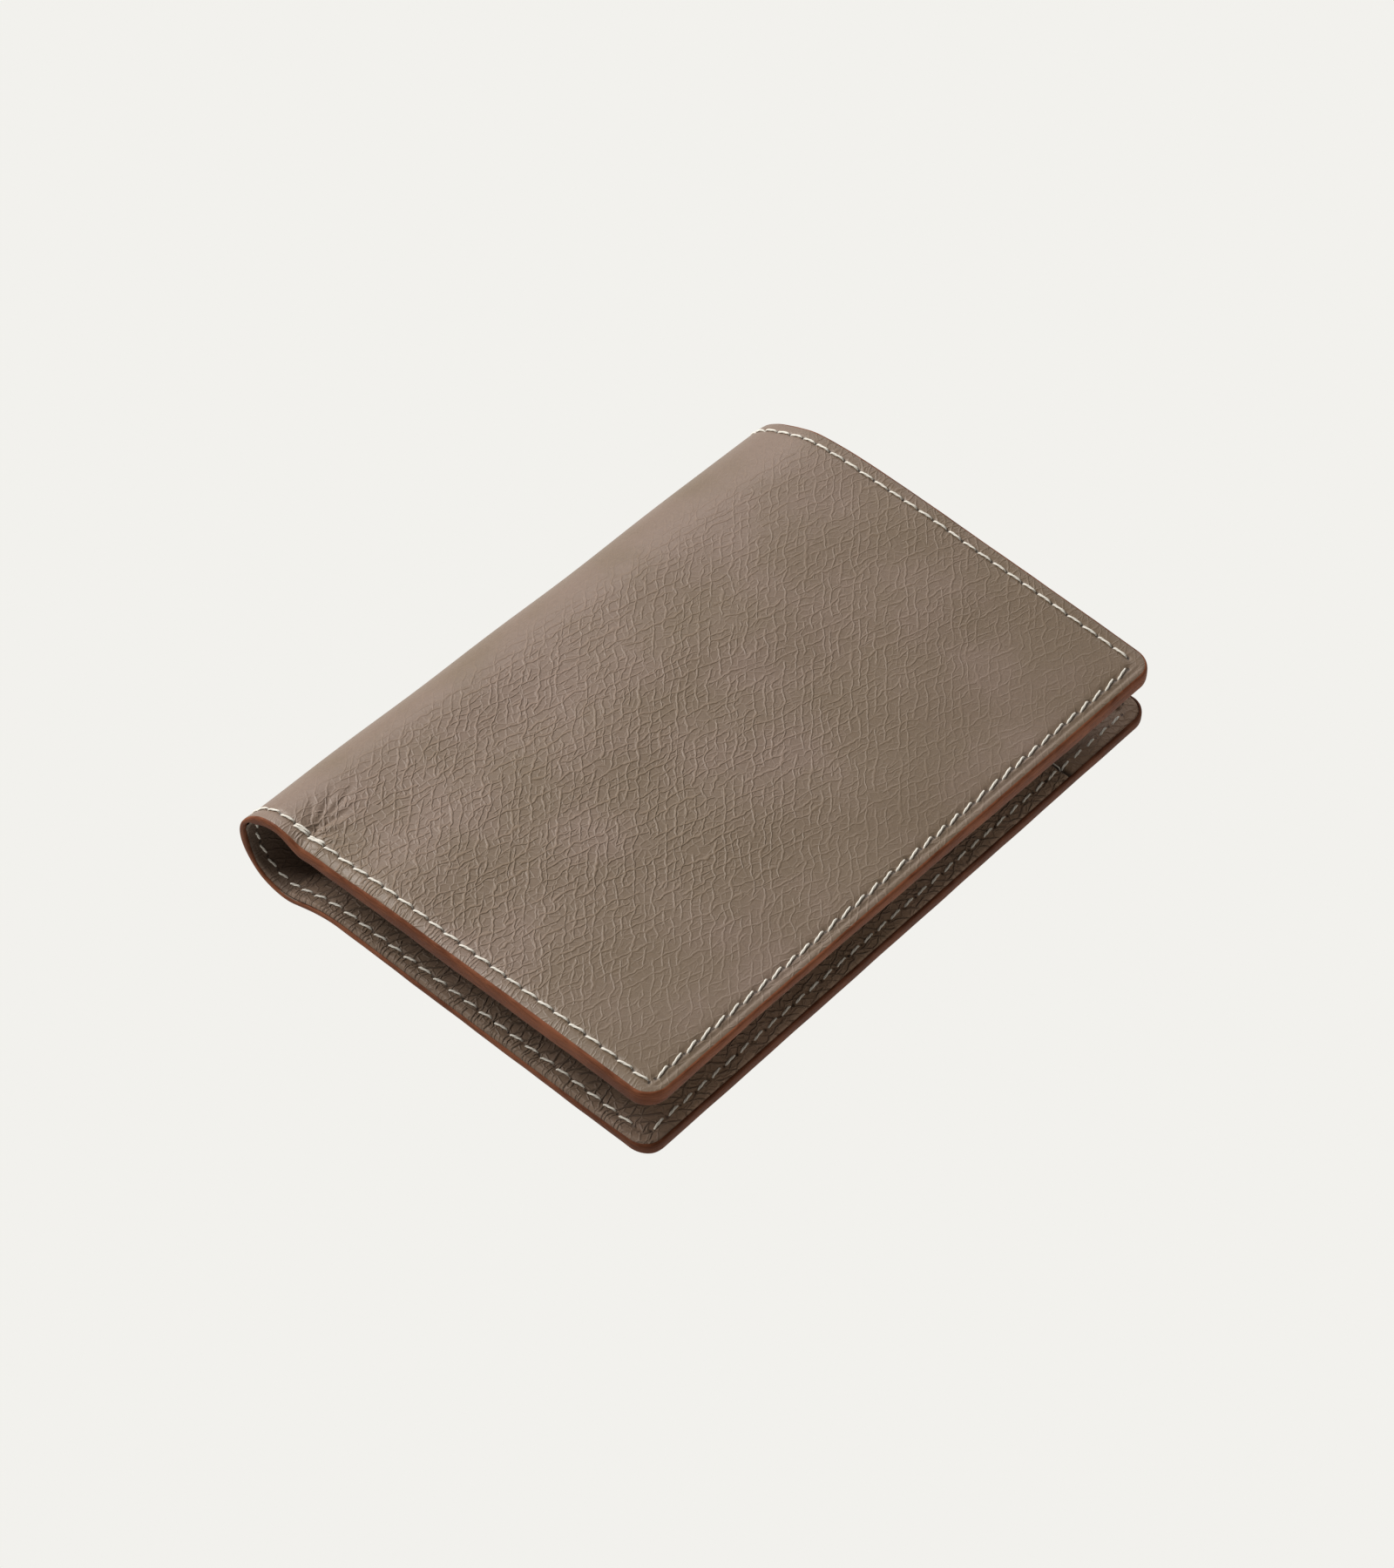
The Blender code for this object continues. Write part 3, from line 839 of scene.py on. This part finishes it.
BAND_TUCK = 0.30                     # how far the paint reaches in under the leather's rim
BAND_STANDS = 0.32                   # how far it stands out beyond the leather
BAND_SQUARENESS = 2 / 3              # 1 would be a half-round edge, 0 a square one
BAND_OVERLAP = 0.15                  # and how far past the innermost sheet
BAND_TOP = 0.02                      # it starts this deep below the outer face
NO_LIMIT = 9.0                       # deeper than any rim


def cover_rim(inner, side):
    """(s, y, outward s, outward y) round a cover, from its near side to its far side."""
    end = SKIN_LENGTH if side > 0 else 0.0
    corner_s = end - side * CORNER
    run = np.linspace(inner, corner_s, int(abs(corner_s - inner) / 0.9))
    rows = [(s, -HALF_HEIGHT, 0, -1) for s in run[:-1]]
    corner_y = HALF_HEIGHT - CORNER
    quarter = np.linspace(0, math.pi / 2, 15)
    for angle in quarter:
        out = (side * math.sin(angle), -math.cos(angle))
        rows.append((corner_s + CORNER * out[0], -corner_y + CORNER * out[1], *out))
    for y in np.linspace(-corner_y, corner_y, 150)[1:-1]:
        rows.append((end, y, side, 0))
    for angle in quarter:
        out = (side * math.cos(angle), math.sin(angle))
        rows.append((corner_s + CORNER * out[0], corner_y + CORNER * out[1], *out))
    rows += [(s, HALF_HEIGHT, 0, 1) for s in run[::-1][1:]]
    return np.array(rows)


def side_rim(start, end, side):
    run = np.linspace(start, end, max(8, int((end - start) / 0.4)))
    return np.array([(s, side * HALF_HEIGHT, 0, side) for s in run])


# How deep the paint reaches round the covers' rims, by s, and along the front fore-edge, by y
band_reach = curve_through((0, 2.75), (6, 2.2), (40, 1.5), (HINGE_S[0], 1.1),
                           (HINGE_S[1], 1.0), (HINGE_S[2], 1.2), (HINGE_S[3], 1.9),
                           (FRONT_START - 8, 1.9), (FRONT_START, NO_LIMIT))
front_reach = curve_through((-HALF_HEIGHT, 3.6), (-60, 2.8), (0, 2.7), (45, 3.65))


def band_strip(rows):
    """A closed rounded band along a rim, as a piece for joined."""
    theta = np.linspace(-math.pi / 2, math.pi / 2, 15)
    across = np.sign(np.sin(theta)) * np.abs(np.sin(theta)) ** BAND_SQUARENESS
    reach = np.abs(np.cos(theta)) ** BAND_SQUARENESS
    s, y, out_s, out_y = (rows[:, k, None] for k in range(4))
    wear_and_painted_light = 0.035 * np.sin(s / 3.1 + y / 4.3) + 0.02 * np.sin(s / 1.3 - y / 1.9)
    out = -BAND_TUCK + (BAND_TUCK + BAND_STANDS + wear_and_painted_light) * reach
    fore = smoothstep(s, SKIN_LENGTH - CORNER, SKIN_LENGTH)
    reach_in = np.minimum(band_reach(s), front_reach(y) * fore + NO_LIMIT * (1 - fore))
    bottom = np.minimum(rim_face(s, y) + BAND_OVERLAP, reach_in)
    depth = BAND_TOP + (bottom - BAND_TOP) * (across + 1) / 2
    points = skin(s + out_s * out, y + out_y * out, depth)
    count, columns = points.shape[:2]
    ring = np.arange(count - 1) * columns
    back = np.stack([ring + columns - 1, ring + 2 * columns - 1, ring + columns, ring], 1)
    caps = np.array([np.arange(columns), (count - 1) * columns + np.arange(columns)[::-1]])
    faces = [grid_faces(count, columns), back, caps]
    travel = rows[1, :2] - rows[0, :2]
    if travel[0] * rows[0, 3] > travel[1] * rows[0, 2]:
        faces = [group[:, ::-1] for group in faces]
    place = np.stack([s + 0 * depth, y + 0 * depth, depth], -1).reshape(-1, 3)
    return points.reshape(-1, 3), faces, {"skin_place": place}


def painted_edges():
    for part in PARTS:
        if part == BACK:
            strips = [cover_rim(CUTS[0], -1)]
        elif part == FRONT:
            strips = [cover_rim(CUTS[-1], 1)]
        else:
            strips = [side_rim(CUTS[part - 1], CUTS[part], side) for side in (-1, 1)]
        made = joined("painted_edge_" + PART_NAMES[part], [band_strip(rows) for rows in strips],
                      EDGE_PAINT)
        attach(made, part, [])


# ---------------------------------------------------------------- pockets

def sleeve_face(s, y):
    """The slip pocket's inner face: sewn flat at its border, and bulging inside it."""
    inside = (smoothstep(s, 4.2, 12) * smoothstep(y + HALF_HEIGHT, 4.2, 12)
              * smoothstep(SLEEVE_END_S - s, 1.0, 9.0))
    mouth = rim_rounding(SLEEVE_MOUTH - y)
    crease = 0.16 * bump(SLEEVE_MOUTH - y, 1.6, 0.3)
    sewn = 0.15 * seam_channel(s, y) + 0.25 * hole_pull(s, y)
    fold_edge = rim_rounding(SLEEVE_END_S - s)
    return (sleeve_depth(s) + 0.5 * inside + 0.5 * undulation(s, y) * inside
            - mouth - crease - sewn - fold_edge - cut_rim(s, y))


def pocket_grain(s, y):
    """The pockets' leather is crinkled most where it is gathered at the seam."""
    from_rim = np.minimum(y + HALF_HEIGHT, np.minimum(s, SKIN_LENGTH - s))
    return 0.55 + 0.85 * (1 - smoothstep(from_rim, 5, 18))


def slip_pocket():
    y_values = across_ticks(-HALF_HEIGHT + RIM_GAP, SLEEVE_MOUTH, 0.3, 0.6)
    for part, last in ((BACK, None), (1, None), (2, SLEEVE_END_S)):
        s_values = np.clip(part_ticks(part, 0.6, last=last), RIM_GAP, None)
        made = sheet("slip_pocket_" + PART_NAMES[part], s_values, y_values,
                     lambda s, y: LINING_FACE - cut_rim(s, y), sleeve_face, INNER_LEATHER,
                     shown="inner", grain=pocket_grain)
        nodes = {BACK: ["back_sleeve"], 1: ["sleeve_fold_strip"], 2: []}[part]
        attach(made, part, nodes)


PANEL_BACK = 2.1                     # depth of the card panel's hidden face
PANEL_FACE = 2.6                     # and of its inner face
SLOT_THICKNESS = 0.6
SLOT_STEP = 14.0
SLOT_EDGE = 0.6                      # from the panel's spine-side edge to the slots' edge
SLOT_RISE = 0.75                     # each empty slot lies this much over the next one


def card_panel():
    s_values = part_ticks(FRONT, 1.0, first=PANEL_S)
    y_values = across_ticks(-HALF_HEIGHT + FRONT_GAP, SLEEVE_MOUTH, 0.4, 1.0)

    def face(s, y):
        crease = 0.12 * bump(SLEEVE_MOUTH - y, 1.6, 0.3)
        rim_rise = (FRONT_STACK - PANEL_FACE) * (1 - smoothstep(inset(s, y), 3.7, 4.4))
        edges = rim_rounding(SLEEVE_MOUTH - y) + rim_rounding(s - PANEL_S)
        edges = edges + cut_rim(s, y, FRONT_GAP)
        return pared(s, PANEL_FACE + rim_rise - crease - edges)

    made = sheet("card_panel", np.clip(s_values, None, SKIN_LENGTH - FRONT_GAP), y_values,
                 lambda s, y: pared(s, PANEL_BACK), face, INNER_LEATHER, shown="inner",
                 grain=pocket_grain)
    attach(made, FRONT, ["card_panel"])


def card_slot(index, name, mouth):
    """One card slot, from its mouth down to where the next slot's sheet covers it."""
    low = -HALF_HEIGHT + FRONT_GAP if index == 0 else mouth - 1.6 * SLOT_STEP
    covered = mouth - SLOT_STEP - 1.0
    level = len(SLOT_MOUTHS) - 1 - index
    start = PANEL_S + SLOT_EDGE

    def tucked(y):
        return 0.0 if index == 0 else 1 - smoothstep(y, covered - 1.5, covered)

    def back(s, y):
        inside = smoothstep(s, start + 0.6, start + 2.6)
        inside = inside * smoothstep(SKIN_LENGTH - s, 3.8, 5.8)
        inside = inside * smoothstep(HALF_HEIGHT + y, 3.8, 5.8)
        raised = SLOT_RISE * level + 0.15 * np.sin(np.clip(s - start, 0, 88) / 28)
        return FRONT_STACK - SLOT_THICKNESS + raised * inside - 0.28 * tucked(y)

    def face(s, y):
        thickness = SLOT_THICKNESS - 0.34 * tucked(y)
        crease = 0.12 * bump(mouth - y, 1.5, 0.28)
        sewn = 0.12 * seam_channel(s, y) + 0.2 * hole_pull(s, y)
        edges = rim_rounding(mouth - y) + rim_rounding(s - start)
        edges = edges + cut_rim(s, y, FRONT_GAP)
        wear_and_painted_light = np.minimum(crease + sewn + edges, thickness - 0.05)
        return pared(s, back(s, y) + thickness - wear_and_painted_light)

    s_values = part_ticks(FRONT, 0.7, first=start)
    made = sheet("card_slot_" + name, np.clip(s_values, None, SKIN_LENGTH - FRONT_GAP),
                 across_ticks(low, mouth, 0.35, 0.7), lambda s, y: pared(s, back(s, y)),
                 face, INNER_LEATHER, shown="inner", grain=pocket_grain)
    attach(made, FRONT, ["card_slot_" + name])


SLOT_MOUTHS = {name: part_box("card_slot_" + name)[1].y * MM
               for name in ("bottom", "middle", "top")}


# ---------------------------------------------------------------- stitches

STITCH_RINGS = 13                    # rings of points along a stitch
STITCH_SIDES = 10                    # points round it
STITCH_TWIST = 4.2 * math.pi         # turns of the two plies along it
PLY_BULGE = 0.13                     # of the thread's radius


def normals_at(s, y):
    """Unit vectors out of the skin's outer face, from its own shape."""
    step = 0.25
    along = skin(s + step, y, 0.0) - skin(s - step, y, 0.0)
    across = skin(s, y + step, 0.0) - skin(s, y - step, 0.0)
    out = np.cross(along, across)
    out /= np.linalg.norm(out, axis=-1, keepdims=True)
    inward = skin(s, y, 1.0) - skin(s, y, 0.0)
    return out * -np.sign(np.sum(out * inward, axis=-1, keepdims=True))


def stitch(first, last, face, outside, reach, slant, aside=0.0, girth=1.0, turn=0.0):
    """The twisted thread of one stitch between two holes, as a piece for joined.

    face gives the depth of the sheet it lies on, reach is the share of the pitch that
    shows, slant turns it on the sheet and aside shifts it off the seam line.
    """
    t = np.linspace(0, 1, STITCH_RINGS)
    (s0, y0), (s1, y1) = first, last
    run = np.array([s1 - s0, y1 - y0])
    side = np.array([-run[1], run[0]]) / np.hypot(*run)
    spread = (t - 0.5) * (reach + 0.12)
    off = aside + spread * math.tan(slant) * np.hypot(*run)
    s = (s0 + s1) / 2 + spread * run[0] + off * side[0]
    y = (y0 + y1) / 2 + spread * run[1] + off * side[1]
    edge = np.abs(2 * t - 1)
    height = 0.24 - 0.10 * edge ** 2 - 0.75 * edge ** 9
    sign = 1 if outside else -1
    centre = skin(s, y, face(s, y) - sign * height)
    out = normals_at(s, y) * sign
    along = np.gradient(centre, axis=0)
    along /= np.linalg.norm(along, axis=1, keepdims=True)
    wide = np.cross(along, out)
    wide /= np.linalg.norm(wide, axis=1, keepdims=True)
    high = np.cross(wide, along)
    angle = np.linspace(0, 2 * math.pi, STITCH_SIDES, endpoint=False)[None, :]
    lobes = np.cos(2 * angle - STITCH_TWIST * t[:, None] - turn)
    taper = girth * THREAD * (1 - 0.35 * edge ** 4)[:, None]
    radius = taper * (1 + PLY_BULGE * lobes)
    points = (centre[:, None, :] + wide[:, None, :] * (radius * np.cos(angle))[..., None] * 1.12
              + high[:, None, :] * (radius * np.sin(angle))[..., None] * 0.92)
    i, j = np.meshgrid(np.arange(STITCH_RINGS - 1), np.arange(STITCH_SIDES), indexing="ij")
    a = (i * STITCH_SIDES + j).ravel()
    b = (i * STITCH_SIDES + (j + 1) % STITCH_SIDES).ravel()
    quads = np.stack([a, b, b + STITCH_SIDES, a + STITCH_SIDES], 1)
    ends = np.array([np.arange(STITCH_SIDES)[::-1],
                     (STITCH_RINGS - 1) * STITCH_SIDES + np.arange(STITCH_SIDES)])
    place = np.stack([s, y, 0 * s], 1).repeat(STITCH_SIDES, axis=0)
    return (points.reshape(-1, 3), [quads, ends],
            {"skin_place": place, "grain": (0.5 + 0.5 * lobes).ravel()})


def outer_face(s, y):
    """Depth of the outer leather's face along the seam, without the dimples at the holes."""
    return outer_relief(s, y) - HOLE_DEPTH * hole_pull(s, y)


def inner_face(s, y):
    """Depth of the inner sheets' faces along the seam, where the inner stitches lie."""
    return rim_face(s, y) - 0.15


# How far the stitches are turned on the sheet, in degrees, along each side of the wallet
OUTER_SLANTS = {"near": 9, "far": 3, "front": 13, "back": -12}
INNER_SLANTS = {"near": -12, "far": 6, "front": 6, "back": -8}


def seam_stitches(outside):
    """Every stitch of one side of the seam, as (part of the skin, stitch) pairs."""
    draw = np.random.default_rng(7 if outside else 8)
    face = outer_face if outside else inner_face
    slants = OUTER_SLANTS if outside else INNER_SLANTS
    made = []
    for place, chain in CHAINS.items():
        for index, (first, last) in enumerate(zip(chain, chain[1:])):
            reach = (0.77 if outside else 0.64) + draw.uniform(-0.03, 0.03)
            slant = math.radians(slants[place] + draw.uniform(-2.5, 2.5))
            turn, girth = draw.uniform(0, 6.28), draw.uniform(0.94, 1.06)
            doubled = outside and place == "near" and index in (PINCH_HOLE - 1, PINCH_HOLE)
            for aside in ((-0.27, 0.27) if doubled else (0.0,)):
                thread = stitch(first, last, face, outside, reach + 0.06 * doubled, slant,
                                aside, girth, turn)
                made.append((part_of((first[0] + last[0]) / 2), thread))
    return made


def mouth_bar():
    """The thread that binds the slip pocket's mouth to the seam at the fore-edge."""
    y = SLEEVE_MOUTH + 0.25
    return stitch((SEAM_INSET - 0.3, y), (SEAM_INSET + 2.6, y), flat(SLEEVE_FACE - 0.1),
                  outside=False, reach=0.8, slant=0.0, girth=0.6)


def stitches():
    for side in ("outer", "inner"):
        made = seam_stitches(side == "outer")
        if side == "inner":
            made.append((BACK, mouth_bar()))
        for part in PARTS:
            threads = joined(f"stitches_{side}_{PART_NAMES[part]}",
                             [thread for where, thread in made if where == part], THREAD_WAX)
            attach(threads, part, cad_nodes(part, side + "_thread", ("near_", "far_")))


# ---------------------------------------------------------------- stage, light and camera

FLOOR_COLOUR = (0.888, 0.880, 0.847)
FLOOR_GAP = 0.7                      # room under the leather for its stitches
FLOOR_SIZE = 12.0                    # in metres, as are the lights' sizes and distances

# The camera, fitted to the photo's stitch holes and outline
AIM = Vector((9.06, -12.0, TOP)) / MM
AZIMUTH = math.radians(41.47)
ELEVATION = math.radians(49.98)
ROLL = math.radians(1.35)
DISTANCE = 0.9064
LENS = 111.66


def direction(azimuth, elevation):
    """Unit vector toward an azimuth, counted from the near side, and an elevation."""
    level = math.cos(elevation)
    return Vector((math.sin(azimuth) * level, -math.cos(azimuth) * level,
                   math.sin(elevation)))


def floor():
    """A plain pale floor, tilted to lie just under the belly of the roll and the fore-edge.

    It glows evenly, so that no shadow falls on it, as in the photo.
    """
    belly_drop = 2 * ROLL_RADIUS - TOP
    tilt = math.atan2(belly_drop, 2 * FORE_EDGE - ROLL_RADIUS)
    mesh = bpy.data.meshes.new("floor")
    corners = [Vector((x, y, 0)) for x, y in ((-1, -1), (1, -1), (1, 1), (-1, 1))]
    mesh.from_pydata([corner * FLOOR_SIZE / 2 for corner in corners], [], [(0, 1, 2, 3)])
    made = bpy.data.objects.new("floor", mesh)
    made.location = (FORE_EDGE / MM, 0, -FLOOR_GAP / MM)
    made.rotation_euler = (0, -tilt, 0)
    bpy.context.scene.collection.objects.link(made)
    shader = Shader("floor")
    glow = shader.add("Emission", {"Color": (*FLOOR_COLOUR, 1), "Strength": 1.0})
    mesh.materials.append(shader.show(glow))


def softbox(name, azimuth, elevation, distance, size, power, colour):
    """An area light aimed at the wallet, placed as the camera is: by azimuth and height."""
    light = bpy.data.lights.new(name, "AREA")
    light.shape = "RECTANGLE"
    light.size, light.size_y = size
    light.energy = power
    light.color = colour
    made = bpy.data.objects.new(name, light)
    away = direction(math.radians(azimuth), math.radians(elevation))
    made.location = away * distance
    made.rotation_euler = (-away).to_track_quat("-Z", "Y").to_euler()
    bpy.context.scene.collection.objects.link(made)


def lights():
    softbox("key", azimuth=-75, elevation=40, distance=1.2, size=(0.7, 0.5), power=21.0,
            colour=(1.0, 0.985, 0.96))
    softbox("sheen", azimuth=225, elevation=28, distance=1.3, size=(1.1, 0.5), power=5.0,
            colour=(0.96, 0.97, 1.0))
    world = bpy.data.worlds.new("studio")
    bpy.context.scene.world = world
    world.use_nodes = True
    background = world.node_tree.nodes["Background"]
    background.inputs["Color"].default_value = (1.0, 0.96, 0.90, 1)
    background.inputs["Strength"].default_value = 0.34


def camera():
    lens = bpy.data.cameras.new("camera")
    lens.lens = LENS
    lens.sensor_width = 36.0
    lens.clip_start, lens.clip_end = 0.05, 20.0
    made = bpy.data.objects.new("camera", lens)
    back = direction(AZIMUTH, ELEVATION)
    made.location = AIM + back * DISTANCE
    turned = (-back).to_track_quat("-Z", "Y").to_matrix() @ Matrix.Rotation(ROLL, 3, "Z")
    made.rotation_euler = turned.to_euler()
    bpy.context.scene.collection.objects.link(made)
    bpy.context.scene.camera = made


def wallet():
    outer_leather()
    lining()
    painted_edges()
    slip_pocket()
    card_panel()
    for index, (name, mouth) in enumerate(SLOT_MOUTHS.items()):
        card_slot(index, name, mouth)
    stitches()


wallet()
floor()
lights()
camera()
bpy.context.scene.view_settings.view_transform = "Standard"
